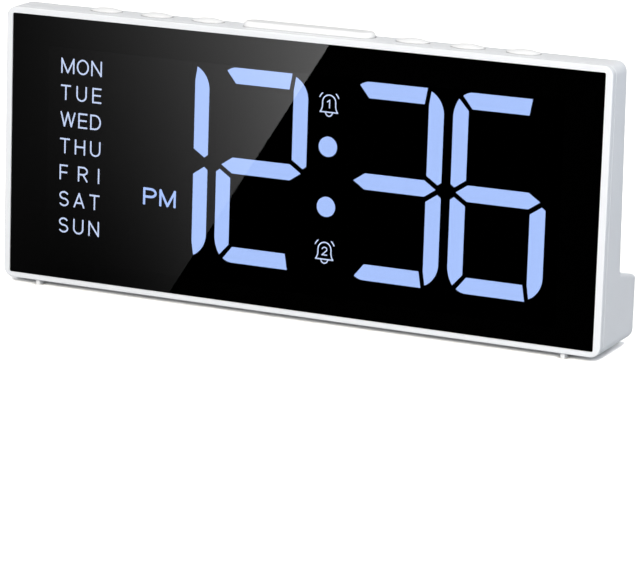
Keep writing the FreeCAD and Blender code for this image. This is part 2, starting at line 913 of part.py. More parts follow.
def posts():
    """Screw posts, and plain posts that hold the display board forward."""
    screw_posts = [rod(post_radius, x, boss_depth, reach / 4, z) for x, z in boss_places()]
    clamps = [rod(clamp_radius, x, board_back, reach / 4, z) for x, z in clamp_places()]
    return face_to_case(Part.makeCompound(screw_posts + clamps)).common(case_solid())


def screw_tunnels():
    holes = [rod(screw_hole_radius, x, 0, reach, z) for x, z in boss_places()]
    tunnels = [rod(screw_head_radius + head_clearance, x, head_seat, reach, z) for x, z in boss_places()]
    return face_to_case(Part.makeCompound(holes + tunnels))


def grille_holes():
    """Rings of round holes in front of the speaker, in the back frame."""
    holes = [rod(grille_hole_radius, 0, -wall - 1, 1, 0)]
    for ring in range(1, grille_rings + 1):
        for step in range(6 * ring):
            angle = 2 * math.pi * step / (6 * ring)
            radius = ring * grille_pitch
            holes.append(rod(grille_hole_radius, radius * math.cos(angle), -wall - 1, 1,
                             radius * math.sin(angle)))
    return Part.makeCompound(holes)


def speaker_ring():
    fit = speaker_radius + speaker_fit
    end = -wall - speaker_flange - speaker_basket_depth / 2
    return rod(fit + speaker_rib, 0, end, -wall / 2, 0).cut(rod(fit, 0, end, -wall, 0))


def usb_outline(grow, y0, y1):
    """Stadium along Y about the inlet's middle."""
    half_height = usb_height / 2 + grow
    return rounded_plate(-usb_width / 2 - grow, usb_width / 2 + grow, y0, y1,
                         -half_height, half_height, half_height - 0.01)


def power_post_places():
    x = power_board_width / 2 - power_screw_inset
    back = power_board_back_y()
    ys = (back - power_screw_inset, back - power_board_length + power_screw_inset)
    return [(inlet_x + side * x, y) for side in (-1, 1) for y in ys]


def rear_housing():
    shell = case_solid().cut(case_cavity()).common(face_slab(frame_depth + seam, reach))
    feet = [pillar(power_post_radius, x, y, wall / 2, power_board_bottom) for x, y in power_post_places()]
    pilots = [pillar(small_screw_radius + thread_gap, x, y, wall, power_board_bottom)
              for x, y in power_post_places()]
    added = [posts(), brackets(), Part.makeCompound(feet)]
    added.append(back_to_case(speaker_ring(), speaker_x, speaker_height_up))
    added.append(back_to_case(bay_shell(), bay_x, bay_height_up))
    for piece in added:
        shell = shell.fuse(piece)
    inlet = usb_outline(usb_clearance, -reach / 4, reach / 4)
    inlet.translate(V(inlet_x, block_depth, inlet_height))
    inlet = inlet.common(box(-reach, reach, power_board_back_y(), reach, -reach, reach))
    cutters = [button_holes(), screw_tunnels(), inlet, Part.makeCompound(pilots)]
    cutters.append(back_to_case(grille_holes(), speaker_x, speaker_height_up))
    cutters.append(back_to_case(bay_room(), bay_x, bay_height_up))
    for cutter in cutters:
        shell = shell.cut(cutter)
    return shell.removeSplitter()


def case_screws():
    tip = boss_depth - screw_bite
    screws = [screw(screw_radius, screw_head_radius, screw_head_height, x, tip, head_seat, z)
              for x, z in boss_places()]
    return face_to_case(Part.makeCompound(screws))


def feet():
    """Four rubber pegs."""
    half = foot_width / 2
    peg = box(-half, half, 0, foot_length, -foot_height, 0)
    peg = round_edges(peg, foot_radius, lambda e: abs(e.tangentAt(e.FirstParameter).z) > 0.99)
    pegs = []
    for side in (-1, 1):
        for y in (front_foot_set_back, block_depth - rear_foot_set_back - foot_length):
            placed = peg.copy()
            placed.translate(V(side * foot_spacing / 2, y, 0))
            pegs.append(placed)
    return Part.makeCompound(pegs)


# ---- speaker, in the back frame ----
def speaker_frame():
    front = -wall
    flange_back = front - speaker_flange
    basket_back = flange_back - speaker_basket_depth
    basket_radius = speaker_cone_radius + speaker_rib
    solid = rod(speaker_radius, 0, flange_back, front, 0).fuse(rod(basket_radius, 0, basket_back, flange_back, 0))
    room = rod(speaker_cone_radius, 0, basket_back + basket_floor, front, 0)
    return back_to_case(solid.cut(room), speaker_x, speaker_height_up)


def speaker_cone():
    """Shallow cone glued into the frame's rim, with a dome in its middle."""
    rim = -wall - cone_drop
    skin = basket_floor
    cap = speaker_cone_radius / 3
    half = speaker_cone_radius
    deep = rim - speaker_cone_depth
    points = [V(half, rim, 0), V(cap, deep, 0), V(0, deep + skin, 0), V(0, deep, 0),
              V(cap, deep - skin, 0), V(half, rim - skin, 0)]
    profile = Part.Face(Part.makePolygon(points + points[:1]))
    return back_to_case(profile.revolve(V(0, 0, 0), V(0, 1, 0), 360), speaker_x, speaker_height_up)


def speaker_magnet():
    back = -wall - speaker_flange - speaker_basket_depth
    return back_to_case(rod(magnet_radius, 0, back - magnet_depth, back, 0), speaker_x, speaker_height_up)


# ---- backup cell bay, in the back frame ----
def bay_half():
    """Half width and half height of the bay's room."""
    return door_width / 2 - door_ledge, door_height / 2 - door_ledge


def cell_middle():
    """Height of the cell's middle: against the bay's upper wall."""
    return bay_half()[1] - cell_radius - cell_gap


def screw_boss_middle():
    return -bay_half()[1] + door_screw_boss - boss_bury


def bay_floor():
    return -door_thickness - cell_gap - cell_thickness - contact_rise - contact_thickness


def bay_shell():
    half_x, half_z = bay_half()
    low = bay_floor() - bay_wall
    return box(-half_x - bay_wall, half_x + bay_wall, low, -wall / 2, -half_z - bay_wall, half_z + bay_wall)


def bay_room():
    half_x, half_z = bay_half()
    room = box(-half_x, half_x, bay_floor(), 1, -half_z, half_z)
    boss = rod(door_screw_boss, 0, bay_floor(), -door_thickness, screw_boss_middle())
    pilot = rod(small_screw_radius + thread_gap, 0, bay_floor(), 1, screw_boss_middle())
    x = door_width / 2 + door_clearance
    z = door_height / 2 + door_clearance
    seat = rounded_plate(-x, x, -door_thickness, 1, -z, z, door_corner + door_clearance)
    return room.cut(boss).fuse(pilot).fuse(seat)


def battery_door():
    x = door_width / 2
    z = door_height / 2
    plate = rounded_plate(-x, x, -door_thickness, 0, -z, z, door_corner)
    hole = rod(small_hole_radius, 0, -door_thickness, 1, screw_boss_middle())
    sink = rod(small_head_radius + door_clearance, 0, -small_head_height, 1, screw_boss_middle())
    grooves = []
    for row in range(grip_grooves):
        z0 = z - grip_inset - row * grip_pitch
        grooves.append(box(-grip_half, grip_half, -grip_depth, 1, z0 - grip_depth, z0 + grip_depth))
    door = plate.cut(Part.makeCompound([hole, sink] + grooves))
    return back_to_case(door, bay_x, bay_height_up)


def battery_door_screw():
    seat = -small_head_height
    tip = bay_floor() + tip_clearance
    body = rod(small_screw_radius, 0, tip, seat, screw_boss_middle())
    body = body.fuse(rod(small_head_radius, 0, seat, 0, screw_boss_middle()))
    body = body.cut(cross_recess(0, -recess_depth, 1, screw_boss_middle()))
    return back_to_case(body, bay_x, bay_height_up)


def coin_cell():
    """Cell with a narrower cap at its inner face."""
    inner = bay_floor() + contact_thickness + contact_rise
    step = cell_thickness / 6
    body = rod(cell_radius, 0, inner + step, inner + cell_thickness, cell_middle())
    cap = rod(cell_radius - 1.5 * step, 0, inner, inner + step, cell_middle())
    return back_to_case(body.fuse(cap), bay_x, bay_height_up)


def battery_contacts():
    """A sprung strip under the cell and a clip at its rim."""
    floor = bay_floor()
    middle = cell_middle()
    half = contact_width / 2
    strip = box(-half, half, floor, floor + contact_thickness, middle - half, middle + half)
    reach_up = contact_thickness + contact_rise
    finger = box(-contact_thickness, contact_thickness, floor, floor + reach_up, middle - half, middle + half)
    rim = -cell_radius
    clip = box(rim - contact_thickness, rim, floor, floor + reach_up + cell_thickness / 2,
               middle - half, middle + half)
    foot = box(rim - 2 * contact_thickness, rim, floor, floor + contact_thickness, middle - half, middle + half)
    parts = [strip.fuse(finger).removeSplitter(), clip.fuse(foot).removeSplitter()]
    return back_to_case(Part.makeCompound(parts), bay_x, bay_height_up)


# ---- power inlet ----
def power_board():
    back = power_board_back_y()
    half = power_board_width / 2
    plate = box(inlet_x - half, inlet_x + half, back - power_board_length, back,
                power_board_bottom, power_board_bottom + board_thickness)
    holes = [pillar(small_hole_radius, x, y, 0, reach) for x, y in power_post_places()]
    return plate.cut(Part.makeCompound(holes))


def power_board_screws():
    seat = power_board_bottom + board_thickness
    screws = [upright_screw(x, y, wall + tip_clearance, seat) for x, y in power_post_places()]
    return Part.makeCompound(screws)


def usb_c_socket():
    """Shell with its tongue; the mouth faces the back."""
    mouth = block_back_y(inlet_height) - usb_setback
    inner = mouth - usb_length
    shell = usb_outline(0, inner, mouth).cut(usb_outline(-usb_shell, inner + usb_shell, mouth + 1))
    tongue = box(-tongue_width / 2, tongue_width / 2, inner, mouth - usb_setback,
                 -tongue_thickness / 2, tongue_thickness / 2)
    socket = shell.fuse(tongue)
    socket.translate(V(inlet_x, 0, inlet_height))
    return socket


def power_board_back_y():
    return block_back_y(0, wall) - board_edge_gap


# ---- leads ----
def tube(points, radius):
    """Round lead along straight runs joined by arcs as large as the runs allow."""
    edges = []
    here = points[0]
    for before, corner, after in zip(points, points[1:], points[2:]):
        back = (before - corner).normalize()
        ahead = (after - corner).normalize()
        turn = math.pi - back.getAngle(ahead)
        run = min(before.distanceToPoint(corner), corner.distanceToPoint(after))
        arc_radius = 0.45 * run / math.tan(turn / 2)
        trim = arc_radius * math.tan(turn / 2)
        start = corner + back * trim
        end = corner + ahead * trim
        inward = (back + ahead).normalize()
        middle = corner + inward * (arc_radius / math.cos(turn / 2) - arc_radius)
        edges.append(Part.LineSegment(here, start).toShape())
        edges.append(Part.Arc(start, middle, end).toShape())
        here = end
    edges.append(Part.LineSegment(here, points[-1]).toShape())
    path = Part.Wire(edges)
    section = Part.Wire(Part.makeCircle(radius, points[0], points[1] - points[0]))
    return path.makePipeShell([section], True, False)


def power_leads():
    leads = []
    top = power_board_bottom + board_thickness
    y = power_board_back_y() - power_board_length + power_screw_inset
    for side in (-1, 1):
        x = inlet_x - power_board_width / 4 + side * lead_spacing / 2
        z = top + power_lead_rise + power_lead_climb
        leads.append(tube([V(x, y, top), V(x, y, top + power_lead_rise),
                           board_back_point(x, z, power_lead_rise), board_back_point(x, z)], lead_radius))
    return Part.makeCompound(leads)


def speaker_leads():
    """From the frame's back, beside the magnet, to the display board."""
    leads = []
    x = (magnet_radius + speaker_cone_radius) / 2
    depth = -wall - speaker_flange - speaker_basket_depth
    for side in (-1, 1):
        z = side * lead_spacing / 2
        start = back_point(speaker_x + x, speaker_height_up + z, depth)
        leave = back_point(speaker_x + x, speaker_height_up + z, depth - speaker_lead_rise)
        arrive = board_back_point(start.x + speaker_lead_span, start.z, speaker_lead_rise)
        end = board_back_point(start.x + speaker_lead_span, start.z)
        leads.append(tube([start, leave, arrive, end], lead_radius))
    return Part.makeCompound(leads)


# ---- everything ----
def at_row(shape, x):
    """Put a button shape, built about the Z axis, in the row."""
    placed = shape.copy()
    placed.translate(V(x, button_row_y, 0))
    return placed


def pieces():
    made = {
        "front_frame": front_frame(),
        "display_lens": display_lens(),
        "mask_film": mask_film(),
        "display_reflector": display_reflector(),
        "led_board": led_board(),
        "led_chips": led_chips(),
        "board_screws": board_screws(),
        "controller_chip": controller_chip(),
        "clock_crystal": clock_crystal(),
        "ribbon_sockets": ribbon_sockets(),
        "button_ribbon": button_ribbon(),
        "button_board": button_board(),
        "button_board_screws": button_board_screws(),
        "tact_switches": tact_switches(),
        "rear_housing": rear_housing(),
        "case_screws": case_screws(),
        "feet": feet(),
        "speaker_frame": speaker_frame(),
        "speaker_cone": speaker_cone(),
        "speaker_magnet": speaker_magnet(),
        "speaker_leads": speaker_leads(),
        "battery_door": battery_door(),
        "battery_door_screw": battery_door_screw(),
        "coin_cell": coin_cell(),
        "battery_contacts": battery_contacts(),
        "power_board": power_board(),
        "power_board_screws": power_board_screws(),
        "usb_c_socket": usb_c_socket(),
        "power_leads": power_leads(),
    }
    made.update(light_guides())
    cap = oval_button()
    pin = plungers((0,))
    for name, x in button_x().items():
        made[name] = at_row(cap, x)
        made[name.replace("button", "plunger")] = at_row(pin, x)
    made["snooze_button"] = at_row(snooze_button(), button_row_x)
    made["snooze_plungers"] = at_row(plungers(snooze_stems()), button_row_x)
    return made


def main():
    os.makedirs(OUT, exist_ok=True)
    made = pieces()
    whole = Part.makeCompound(list(made.values())).optimalBoundingBox(True, False)
    to_origin = V(0, -(whole.YMin + whole.YMax) / 2, foot_height)
    for name, shape in made.items():
        shape.translate(to_origin)
        shape.exportStep(os.path.join(OUT, name + ".step"))
        print(name, "solids", len(shape.Solids), "valid", shape.isValid(), "volume", round(shape.Volume, 1))
    print("moved to the origin by", round(to_origin.y, 4), round(to_origin.z, 4))


main()
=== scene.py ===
# %% [markdown]
# # A desk clock with large lit digits
# The clock is a wide white case with a dark window. Behind the window stand clear bars that carry
# light to the front: seven to a digit, and plain blocks behind the printed words. Every solid of it
# comes ready made from CAD. What is left to make here is what CAD doesn't hold: the finishes, the
# ink printed behind the window, the room's light, and the camera.

# %% Load the solids
import json
import math

import bpy
import numpy as np
from mathutils import Matrix, Vector


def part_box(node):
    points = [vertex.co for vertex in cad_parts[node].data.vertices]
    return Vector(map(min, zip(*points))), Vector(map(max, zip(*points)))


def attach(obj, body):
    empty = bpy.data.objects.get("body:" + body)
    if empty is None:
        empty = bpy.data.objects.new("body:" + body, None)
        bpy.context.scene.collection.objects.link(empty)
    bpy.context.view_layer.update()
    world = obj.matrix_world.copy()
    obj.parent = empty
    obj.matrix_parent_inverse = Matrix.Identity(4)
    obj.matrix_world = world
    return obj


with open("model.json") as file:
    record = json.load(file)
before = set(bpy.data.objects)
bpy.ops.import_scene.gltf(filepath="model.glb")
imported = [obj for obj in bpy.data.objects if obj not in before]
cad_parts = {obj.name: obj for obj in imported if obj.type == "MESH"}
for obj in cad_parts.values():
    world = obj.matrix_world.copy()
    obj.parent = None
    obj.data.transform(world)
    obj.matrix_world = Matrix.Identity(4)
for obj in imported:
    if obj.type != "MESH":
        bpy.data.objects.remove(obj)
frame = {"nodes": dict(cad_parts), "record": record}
nodes = frame["nodes"]
slot_of_node = {part["node"]: part["material_slot"] for part in frame["record"]["subparts"]}
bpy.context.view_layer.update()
print("solids:", len(nodes), "finishes:", len(set(slot_of_node.values())))

# %% [markdown]
# ## The leaning face
# The front of the clock leans back by three degrees, and everything in the window leans with it.
# It is easiest to think of a point there as (x, how deep behind the face, how far up the face), in
# millimetres. One function turns such points into the room's metres. It could use typed offsets,
# but it takes them from the window's own solid, so that ink and window stay together.

# %% Points on the face
MM = 0.001
FACE_LEAN = math.radians(3.0)
RIM_BOTTOM = 2.2
WINDOW_HEIGHT = 105.1
LENS_FRONT = 0.3
LENS_BACK = 1.8
LENS_CLEARANCE = 0.1

lens_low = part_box("display_lens")[0]
lens_foot = RIM_BOTTOM + LENS_CLEARANCE
lean_sin = math.sin(FACE_LEAN)
lean_cos = math.cos(FACE_LEAN)
face_y = lens_low.y / MM - lens_foot * lean_sin - LENS_FRONT * lean_cos
face_z = lens_low.z / MM - lens_foot * lean_cos + LENS_BACK * lean_sin


def face_points(x, depth, up):
    """Room points of (x, depth, up) on the face: depth and up are turned about X by the lean, then
    shifted to the face's lower edge, and millimetres become metres."""
    x, depth, up = np.broadcast_arrays(x, depth, up)
    y = face_y + up * lean_sin + depth * lean_cos
    z = face_z + up * lean_cos - depth * lean_sin
    return np.stack([x, y, z], axis=-1) * MM


print("the face starts at y", round(face_y, 3), "z", round(face_z, 3), "mm")

# %% [markdown]
# ## The camera
# A product picture of a wide, flat thing is taken from far away with a long lens, which keeps its
# edges nearly parallel. The camera is set by where it stands, how far it is turned to the left, how
# far it looks down, and a slight roll.

# %% Set the camera
FOCAL_LENGTH = 199.25
TURN_LEFT = math.radians(26.843)
LOOK_DOWN = math.radians(14.563)
ROLL = math.radians(0.438)
camera_place = np.array([0.60967, -1.19581, 0.36034])

camera_data = bpy.data.cameras.new("camera")
camera_data.sensor_width = 36.0
camera_data.lens = FOCAL_LENGTH
camera_data.clip_start = 0.05
camera_data.clip_end = 100.0
camera = bpy.data.objects.new("camera", camera_data)
bpy.context.scene.collection.objects.link(camera)
turned = Matrix.Rotation(TURN_LEFT, 4, "Z")
tilted = Matrix.Rotation(math.pi / 2 - LOOK_DOWN, 4, "X")
rolled = Matrix.Rotation(ROLL, 4, "Z")
camera.matrix_world = Matrix.Translation(Vector(camera_place)) @ turned @ tilted @ rolled
bpy.context.scene.camera = camera
bpy.context.scene.view_settings.view_transform = "Standard"
print("lens", camera_data.lens, "mm, from", camera_place.round(3), "m")

# %% [markdown]
# ## Short ways to write node trees
# A finish is a small graph of nodes. Two helpers keep the graphs readable: one adds a node and sets
# its sockets in the same line, the other starts a node group, which is a graph that several
# finishes share.


# %% Node helpers
def add_node(tree, kind, sockets=None, **settings):
    """A new node of that kind. A socket's value is a constant, or another node's output to link."""
    node = tree.nodes.new(kind)
    for name, value in settings.items():
        setattr(node, name, value)
    for key, value in (sockets or {}).items():
        if isinstance(value, bpy.types.NodeSocket):
            tree.links.new(value, node.inputs[key])
        else:
            node.inputs[key].default_value = value
    return node


def start_group(name, inputs, outputs):
    """A node group with named inputs, each with its kind and first value, and named outputs."""
    group = bpy.data.node_groups.new(name, "ShaderNodeTree")
    for label, kind, value in inputs:
        socket = group.interface.new_socket(label, in_out="INPUT", socket_type=kind)
        socket.default_value = value
    for label, kind in outputs:
        group.interface.new_socket(label, in_out="OUTPUT", socket_type=kind)
    return group, group.nodes.new("NodeGroupInput").outputs, group.nodes.new("NodeGroupOutput").inputs


NUMBER = "NodeSocketFloat"
COLOUR = "NodeSocketColor"

# %% [markdown]
# ## Moulded plastic
# The case comes out of a steel mould whose walls were spark-eroded, so its skin is a field of very
# fine pits, a few tenths of a millimetre apart. A picture of such a skin could be wrapped round the
# case, but noise in the object's own space has no seams and needs no unwrapping. The group gives a
# height for the bump, a roughness that follows the pits, and a colour that drifts a little over
# several centimetres, as resin does where it flowed.


# %% Group: moulded skin
def make_moulded_skin():
    """Fine noise is the height and moves the roughness; coarse noise scales the colour by about one."""
    group, given, out = start_group(
        "moulded_skin",
        [("Color", COLOUR, (0.8, 0.8, 0.8, 1.0)), ("Drift", NUMBER, 0.02), ("Grain", NUMBER, 2500.0),
         ("Roughness", NUMBER, 0.45), ("Roughness Swing", NUMBER, 0.1)],
        [("Color", COLOUR), ("Roughness", NUMBER), ("Height", NUMBER)])
    place = add_node(group, "ShaderNodeTexCoord").outputs["Object"]
    pits = add_node(group, "ShaderNodeTexNoise",
                    {"Vector": place, "Scale": given["Grain"], "Detail": 2.0})
    flow = add_node(group, "ShaderNodeTexNoise", {"Vector": place, "Scale": 22.0, "Detail": 3.0})
    swing = add_node(group, "ShaderNodeMath", {0: flow.outputs["Fac"], 1: 0.5}, operation="SUBTRACT")
    drift = add_node(group, "ShaderNodeMath", {0: swing.outputs[0], 1: given["Drift"], 2: 1.0},
                     operation="MULTIPLY_ADD")
    tinted = add_node(group, "ShaderNodeVectorMath", {0: given["Color"], "Scale": drift.outputs[0]},
                      operation="SCALE")
    centred = add_node(group, "ShaderNodeMath", {0: pits.outputs["Fac"], 1: 0.5}, operation="SUBTRACT")
    rough = add_node(group, "ShaderNodeMath",
                     {0: centred.outputs[0], 1: given["Roughness Swing"], 2: given["Roughness"]},
                     operation="MULTIPLY_ADD")
    group.links.new(tinted.outputs[0], out["Color"])
    group.links.new(rough.outputs[0], out["Roughness"])
    group.links.new(pits.outputs["Fac"], out["Height"])
    return group


moulded_skin = make_moulded_skin()
print("group", moulded_skin.name)

# %% [markdown]
# ## Drawn and rolled metal
# Tin plate and screw steel carry fine lines from the rollers or the drawing die. Noise squeezed in
# two directions and left long in the third gives such lines.


# %% Group: rolled metal
def make_rolled_metal():
    """Noise that is long along X and short along Y and Z, for height, roughness and a faint shade."""
    group, given, out = start_group(
        "rolled_metal",
        [("Color", COLOUR, (0.6, 0.6, 0.6, 1.0)), ("Roughness", NUMBER, 0.3),
         ("Lines", NUMBER, 9000.0)],
        [("Color", COLOUR), ("Roughness", NUMBER), ("Height", NUMBER)])
    place = add_node(group, "ShaderNodeTexCoord").outputs["Object"]
    long_way = add_node(group, "ShaderNodeMapping", {"Vector": place, "Scale": (0.04, 1.0, 1.0)})
    lines = add_node(group, "ShaderNodeTexNoise",
                     {"Vector": long_way.outputs[0], "Scale": given["Lines"], "Detail": 1.0})
    shade = add_node(group, "ShaderNodeMapRange",
                     {"Value": lines.outputs["Fac"], "To Min": 0.88, "To Max": 1.08})
    tinted = add_node(group, "ShaderNodeVectorMath", {0: given["Color"], "Scale": shade.outputs[0]},
                      operation="SCALE")
    rough = add_node(group, "ShaderNodeMath", {0: lines.outputs["Fac"], 1: 0.18, 2: given["Roughness"]},
                     operation="MULTIPLY_ADD")
    group.links.new(tinted.outputs[0], out["Color"])
    group.links.new(rough.outputs[0], out["Roughness"])
    group.links.new(lines.outputs["Fac"], out["Height"])
    return group


rolled_metal = make_rolled_metal()
print("group", rolled_metal.name)

# %% [markdown]
# ## One recipe for most finishes
# Nearly every part of the clock is a moulded or a metal one, so one function builds the material
# from a group and a few numbers. The shader stays outside the group. What is the same all over the
# part, such as the metal's Metallic, is typed straight on the shader.


# %% Material recipe
def make_finish(name, group, sockets, bump=0.1, pit_depth=0.00002, **constants):
    """A Principled surface whose colour, roughness and bump come from the group."""
    material = bpy.data.materials.new(name)
    material.use_nodes = True
    tree = material.node_tree
    shader = tree.nodes["Principled BSDF"]
    skin = add_node(tree, "ShaderNodeGroup", node_tree=group)
    for key, value in sockets.items():
        skin.inputs[key].default_value = value
    relief = add_node(tree, "ShaderNodeBump",
                      {"Strength": bump, "Distance": pit_depth, "Height": skin.outputs["Height"]})
    tree.links.new(skin.outputs["Color"], shader.inputs["Base Color"])
    tree.links.new(skin.outputs["Roughness"], shader.inputs["Roughness"])
    tree.links.new(relief.outputs["Normal"], shader.inputs["Normal"])
    for key, value in constants.items():
        shader.inputs[key.replace("_", " ")].default_value = value
    return material


def tint(red, green, blue):
    return (red, green, blue, 1.0)


# %% [markdown]
# ## White parts
# Case, buttons and feet are all white, but not the same: the case has the dullest skin, the button
# caps are moulded in a smoother tool and look a little brighter, and the feet are soft rubber. They
# differ in a few numbers, so each is one call. A cap stands in an opening with a hair's breadth of
# room, and shade is painted into its colour there: it darkens by how near the walls around a point
# are, so that every cap keeps a fine painted dark line round its foot.

# %% White finishes
finishes = {}


def add_plastic(name, colour, drift, grain, roughness, swing=0.1, bump=0.1, **constants):
    """A moulded finish, kept under its name."""
    sockets = {"Color": tint(*colour), "Drift": drift, "Grain": grain, "Roughness": roughness,
               "Roughness Swing": swing}
    finishes[name] = make_finish(name, moulded_skin, sockets, bump, **constants)


def paint_gap_shade(material, reach, power):
    """Painted shade: colour times nearness ^ power, nearness 1 in the open and 0 deep in a gap."""
    tree = material.node_tree
    colour = tree.nodes["Principled BSDF"].inputs["Base Color"]
    plain = colour.links[0].from_socket
    nearness = add_node(tree, "ShaderNodeAmbientOcclusion", {"Distance": reach})
    depth = add_node(tree, "ShaderNodeMath", {0: nearness.outputs["AO"], 1: power}, operation="POWER")
    darker = add_node(tree, "ShaderNodeVectorMath", {0: plain, "Scale": depth.outputs[0]},
                      operation="SCALE")
    tree.links.new(darker.outputs[0], colour)


add_plastic("white_case", (0.833, 0.848, 0.873), drift=0.03, grain=2600.0, roughness=0.46, swing=0.12,
            bump=0.06)
add_plastic("white_button", (0.92, 0.925, 0.935), drift=0.02, grain=3200.0, roughness=0.38, swing=0.08,
            bump=0.04)
add_plastic("foot_rubber", (0.83, 0.83, 0.83), drift=0.04, grain=1800.0, roughness=0.7, swing=0.2,
            bump=0.4)
# The caps get a painted shade line round their foot, where they stand in their openings.
paint_gap_shade(finishes["white_button"], reach=0.0006, power=0.9)
print("white finishes:", sorted(finishes))

# %% [markdown]
# ## Plastics and paper inside the case
# Behind the window nothing may shine, so the black film and the guides that aren't lit are nearly
# black and have no gloss at all. The rest is ordinary: glossy insulation on the leads, dull chip
# packages, and the speaker's pressed paper, whose coarse grain is deep enough to feel.

# %% Plastics and paper inside the case
add_plastic("black_film", (0.002, 0.002, 0.0022), drift=0.2, grain=4000.0, roughness=0.6,
            Specular_IOR_Level=0.0)
add_plastic("black_plastic", (0.008, 0.008, 0.009), drift=0.2, grain=2200.0, roughness=0.6, bump=0.3,
            Specular_IOR_Level=0.2)
add_plastic("chip_black", (0.03, 0.03, 0.032), drift=0.3, grain=5200.0, roughness=0.6, swing=0.3,
            bump=0.4)
add_plastic("chip_package", (0.75, 0.73, 0.62), drift=0.1, grain=3500.0, roughness=0.4)
add_plastic("socket_plastic", (0.8, 0.77, 0.68), drift=0.06, grain=2400.0, roughness=0.5, bump=0.2)
add_plastic("plunger_plastic", (0.5, 0.47, 0.4), drift=0.08, grain=2400.0, roughness=0.5, bump=0.2)
add_plastic("lead_red", (0.55, 0.03, 0.02), drift=0.1, grain=3000.0, roughness=0.32, bump=0.08)
add_plastic("guide_dark", (0.004, 0.004, 0.005), drift=0.1, grain=3000.0, roughness=0.5,
            Specular_IOR_Level=0.0)
add_plastic("speaker_paper", (0.05, 0.05, 0.052), drift=0.6, grain=900.0, roughness=0.85, swing=0.2,
            bump=0.7, pit_depth=0.00008)
print("finishes so far:", len(finishes))

# %% [markdown]
# ## Metals
# The coin cell, the contacts and the crystal's can are bright tin or nickel plate. The screws are
# steel with a duller zinc coat, so they take the same group with a darker colour and more roughness.

# %% Metals
finishes["tin_plate"] = make_finish(
    "tin_plate", rolled_metal, {"Color": tint(0.72, 0.72, 0.7), "Roughness": 0.2, "Lines": 12000.0},
    bump=0.08, Metallic=1.0)
finishes["steel_screw"] = make_finish(
    "steel_screw", rolled_metal, {"Color": tint(0.56, 0.56, 0.57), "Roughness": 0.3, "Lines": 8000.0},
    bump=0.15, Metallic=1.0)
print("metals are fully metallic; only colour, roughness and lines differ")

# %% [markdown]
# ## Circuit board
# A board is glass cloth and resin under a green lacquer. Copper tracks lie under the lacquer and
# show as paler, slightly raised strips. The bricks of a Brick texture, very long and thin, make a
# good stand-in for rows of tracks.


# %% Circuit board and ribbon
def make_circuit_board():
    """Green lacquer, paler over tracks that are the long bricks of a pattern across the board."""
    material = bpy.data.materials.new("circuit_board")
    material.use_nodes = True
    tree = material.node_tree
    shader = tree.nodes["Principled BSDF"]
    place = add_node(tree, "ShaderNodeTexCoord").outputs["Object"]
    flat = add_node(tree, "ShaderNodeMapping", {"Vector": place, "Rotation": (math.pi / 2, 0.0, 0.0)})
    tracks = add_node(tree, "ShaderNodeTexBrick",
                      {"Vector": flat.outputs[0], "Color1": tint(0.03, 0.2, 0.09),
                       "Color2": tint(0.025, 0.16, 0.07), "Mortar": tint(0.015, 0.1, 0.045),
                       "Scale": 60.0, "Mortar Size": 0.02, "Brick Width": 1.6, "Row Height": 0.07})
    relief = add_node(tree, "ShaderNodeBump",
                      {"Strength": 0.3, "Distance": 0.00004, "Height": tracks.outputs["Fac"]},
                      invert=True)
    weave = add_node(tree, "ShaderNodeTexNoise", {"Vector": place, "Scale": 900.0})
    gloss = add_node(tree, "ShaderNodeMapRange",
                     {"Value": weave.outputs["Fac"], "To Min": 0.22, "To Max": 0.42})
    tree.links.new(tracks.outputs["Color"], shader.inputs["Base Color"])
    tree.links.new(gloss.outputs[0], shader.inputs["Roughness"])
    tree.links.new(relief.outputs["Normal"], shader.inputs["Normal"])
    return material


def make_striped(name, light, dark, pitch, roughness):
    """Stripes across X at that pitch, as on a flat cable, where each core shows as a ridge."""
    material = bpy.data.materials.new(name)
    material.use_nodes = True
    tree = material.node_tree
    shader = tree.nodes["Principled BSDF"]
    place = add_node(tree, "ShaderNodeTexCoord").outputs["Object"]
    waves = add_node(tree, "ShaderNodeTexWave", {"Vector": place, "Scale": math.pi / 10 / pitch},
                     wave_type="BANDS", bands_direction="X")
    colour = add_node(tree, "ShaderNodeMix", {0: waves.outputs["Fac"], "A": dark, "B": light},
                      data_type="RGBA")
    relief = add_node(tree, "ShaderNodeBump",
                      {"Strength": 0.6, "Distance": 0.0002, "Height": waves.outputs["Fac"]})
    tree.links.new(colour.outputs["Result"], shader.inputs["Base Color"])
    tree.links.new(relief.outputs["Normal"], shader.inputs["Normal"])
    shader.inputs["Roughness"].default_value = roughness
    return material


finishes["circuit_board"] = make_circuit_board()
finishes["ribbon_white"] = make_striped("ribbon_white", tint(0.78, 0.78, 0.76), tint(0.6, 0.6, 0.58),
                                        pitch=0.001, roughness=0.4)
print("finishes so far:", len(finishes))

# %% [markdown]
# ## Light guides and the window
# A lit guide is a clear bar with a frosted front that glows evenly in blue-white. The window in
# front of it is smoked: it lets an eighth of the light through, so the guide has to shine eight times
# as strongly as the colour that is seen. That is also how the real one works: the same smoke is crossed
# twice by the room's light, so guides that aren't lit vanish in the dark. The days and the bells glow
# a little whiter than the digits, because more of the light gets through their thin clear film.
#
# The guide could light the room as a lamp does, but its light is weak beside a lit room, so Cycles
# is told not to treat it as a lamp, which keeps the picture clean.

# %% Guides and window
SMOKE = (0.12, 0.12, 0.125)
LIT_COLOUR = (0.43, 0.595, 1.055)
LEGEND_COLOUR = (0.62, 0.725, 1.0)


